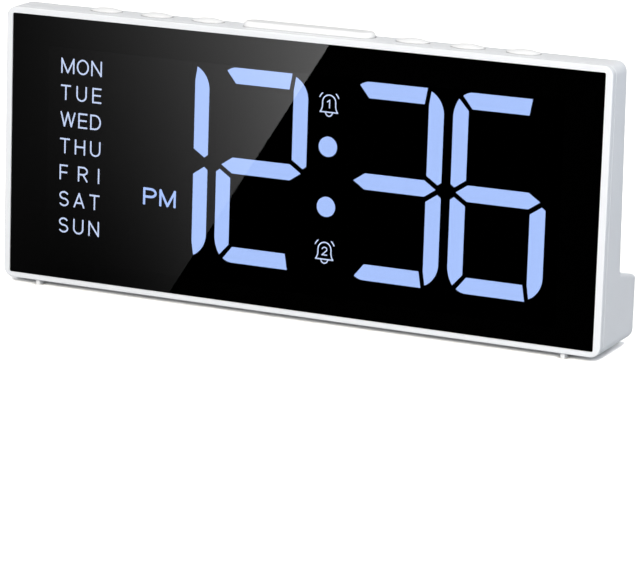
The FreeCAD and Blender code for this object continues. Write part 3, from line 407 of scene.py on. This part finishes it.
def make_glowing_guide(name, colour_seen):
    """Emission is the colour to be seen, divided by what the smoked window lets through."""
    material = bpy.data.materials.new(name)
    material.use_nodes = True
    material.cycles.emission_sampling = "NONE"
    tree = material.node_tree
    shader = tree.nodes["Principled BSDF"]
    place = add_node(tree, "ShaderNodeTexCoord").outputs["Object"]
    frost = add_node(tree, "ShaderNodeTexNoise", {"Vector": place, "Scale": 60.0, "Detail": 1.0})
    strongest = max(seen / let_through for seen, let_through in zip(colour_seen, SMOKE))
    glow = [seen / let_through / strongest for seen, let_through in zip(colour_seen, SMOKE)]
    even = add_node(tree, "ShaderNodeMapRange",
                    {"Value": frost.outputs["Fac"], "To Min": 0.985, "To Max": 1.015})
    colour = add_node(tree, "ShaderNodeVectorMath", {0: glow, "Scale": even.outputs[0]},
                      operation="SCALE")
    tree.links.new(colour.outputs[0], shader.inputs["Emission Color"])
    shader.inputs["Emission Strength"].default_value = strongest
    shader.inputs["Base Color"].default_value = tint(0.1, 0.12, 0.16)
    shader.inputs["Roughness"].default_value = 0.5
    return material


def make_smoked_window():
    """Clear, dark, flat: full transmission, tinted, with a faint unevenness in its polish."""
    material = bpy.data.materials.new("smoked_window")
    material.use_nodes = True
    tree = material.node_tree
    shader = tree.nodes["Principled BSDF"]
    place = add_node(tree, "ShaderNodeTexCoord").outputs["Object"]
    wiping = add_node(tree, "ShaderNodeTexNoise", {"Vector": place, "Scale": 14.0, "Detail": 4.0})
    polish = add_node(tree, "ShaderNodeMapRange",
                      {"Value": wiping.outputs["Fac"], "From Min": 0.4, "From Max": 0.7, "To Min": 0.0,
                       "To Max": 0.02})
    tree.links.new(polish.outputs[0], shader.inputs["Roughness"])
    shader.inputs["Base Color"].default_value = tint(*SMOKE)
    shader.inputs["Transmission Weight"].default_value = 1.0
    shader.inputs["IOR"].default_value = 1.49
    return material


finishes["guide_lit"] = make_glowing_guide("guide_lit", LIT_COLOUR)
finishes["legend_lit"] = make_glowing_guide("legend_lit", LEGEND_COLOUR)
finishes["smoked_window"] = make_smoked_window()
print("window lets through", SMOKE)

# %% [markdown]
# ## Every solid gets its finish
# The clock's own record names a finish for every solid. A loop hands them out, so no solid can be
# forgotten, and one that asks for a finish that doesn't exist stops the script at once.

# %% Give every solid its finish
for name, node in nodes.items():
    finish = finishes[slot_of_node[name]]
    for place in node.material_slots:
        place.material = finish
print("finished:", len(nodes), "solids in", len(set(slot_of_node.values())), "materials")

# %% [markdown]
# ## Flat shapes behind the window
# Ink has almost no thickness, but a shape with none at all has no back and is easily lost. So each
# printed stroke is a very thin solid: a flat profile of four corners, carried along a path. The same
# grid of quads serves for every one of them, whether the path is open, as in the letter S, or
# closed, as in the letter O.


# %% Strokes of ink
END_STEPS = 6
END_REACH = math.radians(84)


def grid_quads(rings, closed):
    """Quads between neighbouring rings of four corners, numbered ring by ring."""
    last = rings if closed else rings - 1
    ring, corner = np.meshgrid(np.arange(last), np.arange(4), indexing="ij")
    following = (ring + 1) % rings
    beside = (corner + 1) % 4
    quads = np.stack([4 * ring + corner, 4 * ring + beside,
                      4 * following + beside, 4 * following + corner], axis=-1)
    return quads.reshape(-1, 4)


def ink_stroke(path, width, front, back, end_shape=2.0, closed=False):
    """A flat band along a path of (x, up) points. At share t of the way through an open end, which
    reaches half a width past the path, the band is (1 - t^p)^(1/p) as wide: round for p = 2, nearly
    square for p = 6."""
    path = np.asarray(path, float)
    half = width / 2
    along = np.roll(path, -1, 0) - np.roll(path, 1, 0) if closed else np.gradient(path, axis=0)
    along /= np.linalg.norm(along, axis=1, keepdims=True)
    spread = np.full(len(path), half)
    if not closed:
        share = np.sin(np.linspace(0.0, 1.0, END_STEPS + 1)[1:] * END_REACH)
        narrow = half * (1 - share**end_shape) ** (1 / end_shape)
        start = path[0] - half * share[::-1, None] * along[0]
        end = path[-1] + half * share[:, None] * along[-1]
        path = np.concatenate([start, path, end])
        spread = np.concatenate([narrow[::-1], spread, narrow])
        along = np.concatenate([np.repeat(along[:1], END_STEPS, 0), along,
                                np.repeat(along[-1:], END_STEPS, 0)])
    across = np.stack([-along[:, 1], along[:, 0]], axis=-1) * spread[:, None]
    left = path + across
    right = path - across
    flat = np.stack([left, right, right, left], axis=1)
    depth = np.array([front, front, back, back])
    points = face_points(flat[:, :, 0], depth[None, :], flat[:, :, 1]).reshape(-1, 3)
    quads = grid_quads(len(path), closed)
    if not closed:
        last = 4 * (len(path) - 1)
        quads = np.concatenate([quads, [[3, 2, 1, 0]], [[last, last + 1, last + 2, last + 3]]])
    return points, quads


def join_shapes(shapes):
    """Several (points, quads) pairs as one pair: the quads of each are numbered on from the last."""
    starts = np.cumsum([0] + [len(points) for points, quads in shapes[:-1]])
    points = np.concatenate([points for points, quads in shapes])
    quads = np.concatenate([quads + start for (_, quads), start in zip(shapes, starts)])
    return points, quads


def make_piece(name, shape, slot, finish=None, body="clock_body"):
    """A mesh from points and quads, in a slot's finish or one near it, riding on a body."""
    points, quads = shape
    mesh = bpy.data.meshes.new(name)
    mesh.from_pydata(points.tolist(), [], quads.tolist())
    mesh.materials.append(finishes[finish or slot])
    piece = bpy.data.objects.new(name, mesh)
    bpy.context.scene.collection.objects.link(piece)
    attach(piece, body)
    print(name, "has", len(points), "points and", len(quads), "quads")
    return piece


# %% [markdown]
# ## An alphabet of strokes
# The words behind the window are plain capitals with strokes of one width. A font would be quicker,
# but strokes give exactly that even weight, and each word can be spread to the same width. A letter
# is drawn in a square from 0 to 1, where 0 and 1 are the middle lines of its outermost strokes, and
# each has its own width, as in any alphabet.


# %% Letters
def bend(middle, radii, start, end, count=20):
    """Part of an ellipse: middle plus radii times (cosine, sine), from a start to an end angle."""
    angle = np.radians(np.linspace(start, end, count))
    return np.stack([middle[0] + radii[0] * np.cos(angle), middle[1] + radii[1] * np.sin(angle)],
                    axis=-1)


def chain(*parts):
    """Single points and runs of points, one after another, as one path."""
    return np.concatenate([np.atleast_2d(part) for part in parts])


SQUARE_END = 6.0
ROUND_END = 2.0
STEM = ([(0, 0), (0, 1)], SQUARE_END)
TOP_BAR = ([(0, 1), (1, 1)], SQUARE_END)
RIGHT_STEM = ([(1, 0), (1, 1)], SQUARE_END)
CUP = chain((0, 1), bend((0.5, 0.36), (0.5, 0.36), 180, 360), (1, 1))
UPPER_BOWL = chain((0, 1), bend((0.52, 0.735), (0.48, 0.265), 90, -90), (0, 0.47))
SPINE = chain(bend((0.5, 0.755), (0.47, 0.245), 28, 262), bend((0.5, 0.255), (0.5, 0.255), 82, -150))
LETTERS = {
    "A": [([(0, 0), (0.5, 1)], ROUND_END), ([(1, 0), (0.5, 1)], ROUND_END),
          ([(0.2, 0.31), (0.8, 0.31)], ROUND_END)],
    "D": [STEM, (chain((0, 1), bend((0.42, 0.5), (0.58, 0.5), 90, -90), (0, 0)), SQUARE_END)],
    "E": [STEM, TOP_BAR, ([(0, 0.51), (0.93, 0.51)], SQUARE_END), ([(0, 0), (1, 0)], SQUARE_END)],
    "F": [STEM, TOP_BAR, ([(0, 0.49), (0.92, 0.49)], SQUARE_END)],
    "H": [STEM, RIGHT_STEM, ([(0, 0.52), (1, 0.52)], SQUARE_END)],
    "I": [STEM],
    "M": [STEM, RIGHT_STEM, ([(0, 1), (0.5, 0)], ROUND_END), ([(0.5, 0), (1, 1)], ROUND_END)],
    "N": [STEM, RIGHT_STEM, ([(0, 1), (1, 0)], ROUND_END)],
    "O": [(bend((0.5, 0.5), (0.5, 0.5), 0, 360, 49)[:-1], None)],
    "P": [STEM, (UPPER_BOWL, SQUARE_END)],
    "R": [STEM, (UPPER_BOWL, SQUARE_END), ([(0.52, 0.47), (1, 0)], ROUND_END)],
    "S": [(SPINE, ROUND_END)],
    "T": [TOP_BAR, ([(0.5, 1), (0.5, 0)], SQUARE_END)],
    "U": [(CUP, SQUARE_END)],
    "W": [([(0, 1), (0.25, 0)], ROUND_END), ([(0.25, 0), (0.5, 1)], ROUND_END),
          ([(0.5, 1), (0.75, 0)], ROUND_END), ([(0.75, 0), (1, 1)], ROUND_END)],
}
LETTER_WIDTHS = {"A": 5.0, "D": 4.9, "E": 4.15, "F": 3.8, "H": 4.75, "I": 0.92, "M": 6.05, "N": 4.85,
                 "O": 5.5, "R": 4.5, "S": 4.4, "T": 4.6, "U": 4.75, "W": 6.9}
INK_FRONT = 1.83
INK_BACK = 1.87


def draw_letter(letter, left, width, foot, height, stroke):
    """The strokes of one letter, scaled so that their outer edges fill the given width and height."""
    shapes = []
    room = np.array([max(width - stroke, 0.0), height - stroke])
    corner = np.array([left + stroke / 2, foot + stroke / 2])
    for path, end_shape in LETTERS[letter]:
        placed = corner + np.asarray(path, float) * room
        closed = end_shape is None
        shapes.append(ink_stroke(placed, stroke, INK_FRONT, INK_BACK, end_shape or ROUND_END, closed))
    return shapes


print("letters:", "".join(sorted(LETTERS)))

# %% [markdown]
# ## The printed words
# The seven days stand in a column and are all spread to the same width, so that both of its edges
# are straight: MON is set tight, FRI wide. PM is a little larger and bolder, and keeps its own width.

# %% Days of the week
DAYS = ("MON", "TUE", "WED", "THU", "FRI", "SAT", "SUN")
DAY_LEFT = -105.2
DAY_RIGHT = -86.6
DAY_PITCH = 10.71
DAY_HEIGHT = 6.1
DAY_STROKE = 0.64
MONDAY_FOOT = 84.97


def draw_word(word, left, right, foot, height, stroke):
    """Letters of their own widths, with equal gaps that spread the word from left to right."""
    widths = [LETTER_WIDTHS[letter] for letter in word]
    gap = (right - left - sum(widths)) / (len(word) - 1)
    starts = left + np.cumsum([0.0] + [width + gap for width in widths[:-1]])
    shapes = []
    for letter, start, width in zip(word, starts, widths):
        shapes += draw_letter(letter, start, width, foot, height, stroke)
    return shapes


day_shapes = []
for row, day in enumerate(DAYS):
    day_foot = MONDAY_FOOT - row * DAY_PITCH
    day_shapes += draw_word(day, DAY_LEFT, DAY_RIGHT, day_foot, DAY_HEIGHT, DAY_STROKE)
make_piece("weekday_words", join_shapes(day_shapes), "guide_lit", "legend_lit")

# %% PM
PM_FOOT = 36.3
PM_HEIGHT = 6.85
PM_STROKE = 0.97
afternoon = draw_letter("P", -66.77, 6.1, PM_FOOT, PM_HEIGHT, PM_STROKE)
afternoon += draw_letter("M", -59.45, 7.4, PM_FOOT, PM_HEIGHT, PM_STROKE)
make_piece("afternoon_word", join_shapes(afternoon), "guide_lit")

# %% [markdown]
# ## Alarm bells
# Each of the two alarms has a bell with its number inside, drawn in outline: a dome that flares to
# the foot, a half ring for the clapper, and a short arc on either side for the sound.

# %% Bells
BELL_X = 13.78
BELL_MIDDLES = (84.92, 27.62)
BELL_STROKE = 0.48
DOME_RADIUS = 2.8
DOME_FOOT = -1.2
FLARE_SIDE = 0.9
FLARE_DROP = 2.65
LIP_HALF = 3.75
LIP_UP = -3.85
CLAPPER_MIDDLE = (0.05, -3.9)
CLAPPER_RADII = (1.45, 1.5)
SOUND_RADIUS = 4.45
DIGIT_STROKE = 0.45
DIGIT_ONE = [chain((-0.75, 0.1), (0.25, 0.85)), chain((0.2, 0.75), (0.2, -2.15))]
DIGIT_TWO = [chain(bend((0.0, 0.0), (1.0, 0.85), 165, -35), (-1.0, -2.1)),
             chain((-1.0, -2.15), (1.05, -2.15))]


def flare(side):
    """From the dome's foot out to the bell's lip: a parabola whose sideways step grows as t squared."""
    share = np.linspace(0.0, 1.0, 10)
    return np.stack([side * (DOME_RADIUS + FLARE_SIDE * share**2), DOME_FOOT - FLARE_DROP * share],
                    axis=-1)


def draw_bell(middle, number):
    """A bell about its dome's middle, with a number's strokes inside."""
    dome = bend((0, 0), (DOME_RADIUS, DOME_RADIUS), 180, 0)
    paths = [chain(flare(-1)[::-1], dome, flare(1)),
             chain((-LIP_HALF, LIP_UP), (LIP_HALF, LIP_UP)),
             bend(CLAPPER_MIDDLE, CLAPPER_RADII, 180, 360),
             bend((0, 0), (SOUND_RADIUS, SOUND_RADIUS), 131, 155),
             bend((0, 0), (SOUND_RADIUS, SOUND_RADIUS), 49, 25)]
    place = np.array([BELL_X, middle])
    outline = [ink_stroke(path + place, BELL_STROKE, INK_FRONT, INK_BACK) for path in paths]
    figure = [ink_stroke(path + place, DIGIT_STROKE, INK_FRONT, INK_BACK) for path in number]
    return outline + figure


bells = draw_bell(BELL_MIDDLES[0], DIGIT_ONE) + draw_bell(BELL_MIDDLES[1], DIGIT_TWO)
make_piece("alarm_bells", join_shapes(bells), "guide_lit", "legend_lit")

# %% [markdown]
# ## The printed border
# The window is larger than the opening in the frame behind it. On the real clock a black border is
# printed round the window's back to hide the white ledge that it is glued to, and the window's cut
# edges are blackened too, so that the white frame doesn't shine in from the side. Both are rings
# with the window's rounded corners: a flat, wide one behind, and a thin, deep one round the edge.

# %% Border
INK_INSET = 0.13
WINDOW_CORNER = 0.6
BORDER_SIDE = 16.2
BORDER_BOTTOM = 7.0
BORDER_TOP = 12.2
BORDER_DEPTHS = (1.77, 1.79)
EDGE_INK = 0.04
EDGE_DEPTHS = (0.33, 1.76)
WINDOW_HALF = 127.2
INWARD = np.array([1, 1, -1, -1])
window_edges = np.array([-WINDOW_HALF, RIM_BOTTOM, WINDOW_HALF, RIM_BOTTOM + WINDOW_HEIGHT])
border_widths = np.array([BORDER_SIDE, BORDER_BOTTOM, BORDER_SIDE, BORDER_TOP])


def rounded(edges, radius):
    """A rectangle (left, foot, right, top) as points: four quarter circles, clockwise from the left
    foot, each about a middle that lies a radius inside both of its edges."""
    left, foot, right, top = edges + INWARD * radius
    quarters = [((left, foot), 270), ((left, top), 180), ((right, top), 90), ((right, foot), 0)]
    return chain(*(bend(middle, (radius, radius), start, start - 90, 7) for middle, start in quarters))


def flat_ring(outer, inner, front, back):
    """A closed band between two outlines of equal count, from one depth to another."""
    flat = np.stack([outer, inner, inner, outer], axis=1)
    depth = np.array([front, front, back, back])
    points = face_points(flat[:, :, 0], depth[None, :], flat[:, :, 1]).reshape(-1, 3)
    return points, grid_quads(len(flat), True)


outline = rounded(window_edges + INWARD * INK_INSET, WINDOW_CORNER)
opening = rounded(window_edges + INWARD * border_widths, WINDOW_CORNER)
edge_inside = rounded(window_edges + INWARD * (INK_INSET + EDGE_INK), WINDOW_CORNER - EDGE_INK)
make_piece("printed_border", flat_ring(outline, opening, *BORDER_DEPTHS), "black_film")
make_piece("blackened_edge", flat_ring(outline, edge_inside, *EDGE_DEPTHS), "black_film")

# %% [markdown]
# ## The table
# The clock stands on a plain white table in a white room. To the camera the table is bright enough
# to turn white wherever the light reaches it well, and it stays darker only close under the clock,
# where a real shadow lies. A painted shadow is added there too: the nearness of the clock, read over
# a few millimetres, darkens the paint in the thin gap under its edges. Other rays see plain white
# paint. The table ends before the lamps' light fades, so that a low camera sees it run into the white
# room without a line. Polished parts don't see it at all, which keeps the window dark.


# %% Table
TABLE_REACH = 0.9
TABLE_PAINT = tint(0.78, 0.8, 0.83)
TABLE_SEEN = (2.45, 2.4, 2.3)
CONTACT_REACH = 0.0025
CONTACT_POWER = 1.5


def make_table():
    """A square under the clock. What the camera sees is TABLE_SEEN * nearness ^ CONTACT_POWER: the
    nearness paints a contact shadow.
    """
    material = bpy.data.materials.new("table_paint")
    material.use_nodes = True
    tree = material.node_tree
    shader = tree.nodes["Principled BSDF"]
    rays = add_node(tree, "ShaderNodeLightPath").outputs
    seen = add_node(tree, "ShaderNodeMath", {0: rays["Is Camera Ray"], 1: rays["Is Transmission Ray"]},
                    operation="MAXIMUM")
    # Painted contact shadow: the paint darkens by how near the clock is, over a few millimetres.
    nearness = add_node(tree, "ShaderNodeAmbientOcclusion", {"Distance": CONTACT_REACH})
    contact = add_node(tree, "ShaderNodeMath", {0: nearness.outputs["AO"], 1: CONTACT_POWER},
                       operation="POWER")
    bright = add_node(tree, "ShaderNodeVectorMath", {0: TABLE_SEEN, "Scale": contact.outputs[0]},
                      operation="SCALE")
    paint = add_node(tree, "ShaderNodeMix",
                     {0: seen.outputs[0], "A": TABLE_PAINT, "B": bright.outputs[0]}, data_type="RGBA")
    tree.links.new(paint.outputs["Result"], shader.inputs["Base Color"])
    shader.inputs["Roughness"].default_value = 1.0
    shader.inputs["Specular IOR Level"].default_value = 0.0
    mesh = bpy.data.meshes.new("table")
    corners = [(-TABLE_REACH, -TABLE_REACH, 0), (TABLE_REACH, -TABLE_REACH, 0),
               (TABLE_REACH, TABLE_REACH, 0), (-TABLE_REACH, TABLE_REACH, 0)]
    mesh.from_pydata(corners, [], [(0, 1, 2, 3)])
    mesh.materials.append(material)
    table = bpy.data.objects.new("table", mesh)
    bpy.context.scene.collection.objects.link(table)
    table.visible_glossy = False
    table.visible_transmission = False


make_table()
print("table at z 0")

# %% [markdown]
# ## The room
# The room is white to the camera. It lights the rest softly from three sides, most from behind, a
# little from the left and from above. Polished parts see a studio: bright overhead, dim behind, dark
# below the horizon, and one large dim panel with a straight edge at the left. The panel is what the
# window mirrors, as a grey sheen that ends in a sloping line. To place it, the camera is mirrored in
# the window: seen from there, a direction belongs to one point (x, up) of the window, and the
# panel's edge and fading can be written in those two numbers.

# %% Mirror the camera in the window
outward = np.array([0.0, -lean_cos, lean_sin])
window_origin = face_points(0.0, LENS_FRONT, 0.0)
distance = (camera_place - window_origin) @ outward
mirrored = camera_place - 2 * distance * outward
step_x = face_points(1.0, LENS_FRONT, 0.0) - window_origin
step_up = face_points(0.0, LENS_FRONT, 1.0) - window_origin
towards_window = np.stack([step_x, step_up, window_origin - mirrored], axis=1)
to_window = np.linalg.inv(towards_window)
print("mirrored camera at", mirrored.round(3))


# %% [markdown]
# ## Light from all around
# The world's nodes tell the rays apart: the camera's own, those that a polished part sends out, and
# all the rest. The panel's fading is written as a few smooth curves, which cost less than a picture
# and never show a grain.

# %% World
EDGE_SLOPE = 0.642
EDGE_START = -55.2
ACROSS_RANGE = (-1.3, 0.4)
HEIGHT_RANGE = (0.0, 1.1)
FADE = ((0.2353, 0.4184, 0.2004), (0.12, -0.1248, -0.1472), (-0.0367, -0.0189))
WINDOW_GLOSS = 0.0325
SOFT_LIGHT = ((0.45, (0, 1, 0)), (0.12, (-1, 0, 0)), (0.1, (0, 0, 1)))


def make_room():
    """White to the camera, the studio to mirror and glass rays, and a soft light to all others. The
    soft light is the sum of share * max(0, way . direction). The panel's grey is a polynomial in the
    height up the window, whose factors are polynomials in the place across it, both in decimetres.
    That grey is one on a screen, so its light is (0.948 * grey + 0.052) ^ 2.4."""
    world = bpy.data.worlds.new("room")
    world.use_nodes = True
    tree = world.node_tree
    tree.nodes.clear()
    rays = add_node(tree, "ShaderNodeLightPath").outputs
    way = add_node(tree, "ShaderNodeTexCoord").outputs["Generated"]

    def math_node(operation, *values):
        return add_node(tree, "ShaderNodeMath", dict(enumerate(values)), operation=operation).outputs[0]

    def along(row):
        return add_node(tree, "ShaderNodeVectorMath", {0: way, 1: tuple(row)},
                        operation="DOT_PRODUCT").outputs["Value"]

    def decimetres(value, low, high):
        return math_node("MINIMUM", math_node("MAXIMUM", math_node("MULTIPLY", value, 0.01), low), high)

    def polynomial(value, *factors):
        """factors[0] + factors[1] * value + factors[2] * value^2 and so on, from the last inwards."""
        total = factors[-1]
        for factor in reversed(factors[:-1]):
            total = math_node("MULTIPLY_ADD", total, value, factor)
        return total

    def glow_from(value, rise_start, rise_end, strength):
        return add_node(tree, "ShaderNodeMapRange",
                        {"Value": value, "From Min": rise_start, "From Max": rise_end, "To Min": 0.0,
                         "To Max": strength}, interpolation_type="SMOOTHSTEP").outputs[0]

    scale = along(to_window[2])
    x = math_node("DIVIDE", along(to_window[0]), scale)
    up = math_node("DIVIDE", along(to_window[1]), scale)
    ahead = math_node("GREATER_THAN", scale, 0.0)
    inside = math_node("LESS_THAN", x, math_node("MULTIPLY_ADD", up, EDGE_SLOPE, EDGE_START))
    across = decimetres(x, *ACROSS_RANGE)
    height = decimetres(up, *HEIGHT_RANGE)
    grey = polynomial(height, *(polynomial(across, *factors) for factors in FADE))
    lifted = math_node("MULTIPLY_ADD", math_node("MAXIMUM", grey, 0.0), 0.948, 0.052)
    tone = math_node("POWER", lifted, 2.4)
    panel = math_node("MULTIPLY", math_node("MULTIPLY", tone, inside),
                      math_node("MULTIPLY", ahead, 1.0 / WINDOW_GLOSS))
    part = add_node(tree, "ShaderNodeSeparateXYZ", {0: way}).outputs
    overhead = glow_from(part["Z"], 0.1, 0.6, 0.9)
    behind = glow_from(part["Y"], 0.0, 0.5, 0.35)
    studio_light = math_node("ADD", math_node("MAXIMUM", overhead, behind), panel)
    studio = add_node(tree, "ShaderNodeBackground", {"Strength": studio_light})
    total = 0.0
    for share, direction in SOFT_LIGHT:
        total = math_node("MULTIPLY_ADD", math_node("MAXIMUM", along(direction), 0.0), share, total)
    soft = add_node(tree, "ShaderNodeBackground", {"Color": tint(0.925, 0.95, 1.0), "Strength": total})
    white = add_node(tree, "ShaderNodeBackground", {"Color": tint(1, 1, 1), "Strength": 1.0})
    polished = math_node("MAXIMUM", rays["Is Glossy Ray"], rays["Is Transmission Ray"])
    lit = add_node(tree, "ShaderNodeMixShader", {0: polished, 1: soft.outputs[0], 2: studio.outputs[0]})
    all_rays = add_node(tree, "ShaderNodeMixShader",
                        {0: rays["Is Camera Ray"], 1: lit.outputs[0], 2: white.outputs[0]})
    add_node(tree, "ShaderNodeOutputWorld", {"Surface": all_rays.outputs[0]})
    bpy.context.scene.world = world


make_room()
print("room lit softly from", len(SOFT_LIGHT), "sides")

# %% [markdown]
# ## Lamps
# A large soft lamp high in front lights the face, a weaker one above lights the top, and one low
# behind keeps the back as white as it is. That one makes no gloss, which would show as a streak
# along the top. A small faint lamp close to the right-hand side gives it a light that fades
# downwards, and leaves it the darkest of the three sides that are seen at once.


# %% Lamps
def add_lamp(name, place, target, size, watts, colour=(1.0, 1.0, 1.0)):
    """A square area lamp at place whose own -Z axis looks at the target."""
    data = bpy.data.lights.new(name, "AREA")
    data.shape = "SQUARE"
    data.size = size
    data.energy = watts
    data.color = colour
    lamp = bpy.data.objects.new(name, data)
    lamp.location = place
    lamp.rotation_euler = (Vector(target) - Vector(place)).to_track_quat("-Z", "Y").to_euler()
    lamp.visible_camera = False
    bpy.context.scene.collection.objects.link(lamp)
    return lamp


clock_middle = (0.0, 0.0, 0.055)
add_lamp("front_lamp", (0.45, -1.5, 1.15), clock_middle, 0.9, 34.6, (1.0, 0.985, 0.955))
add_lamp("top_lamp", (0.1, 0.2, 2.2), clock_middle, 1.8, 9.4)
add_lamp("back_lamp", (-0.2, 1.5, 0.26), clock_middle, 0.5, 7.0).visible_glossy = False
add_lamp("right_lamp", (0.275, -0.004, 0.125), (0.13, 0.0, 0.11), 0.06, 0.039, (0.86, 0.98, 1.15))
print("four lamps")
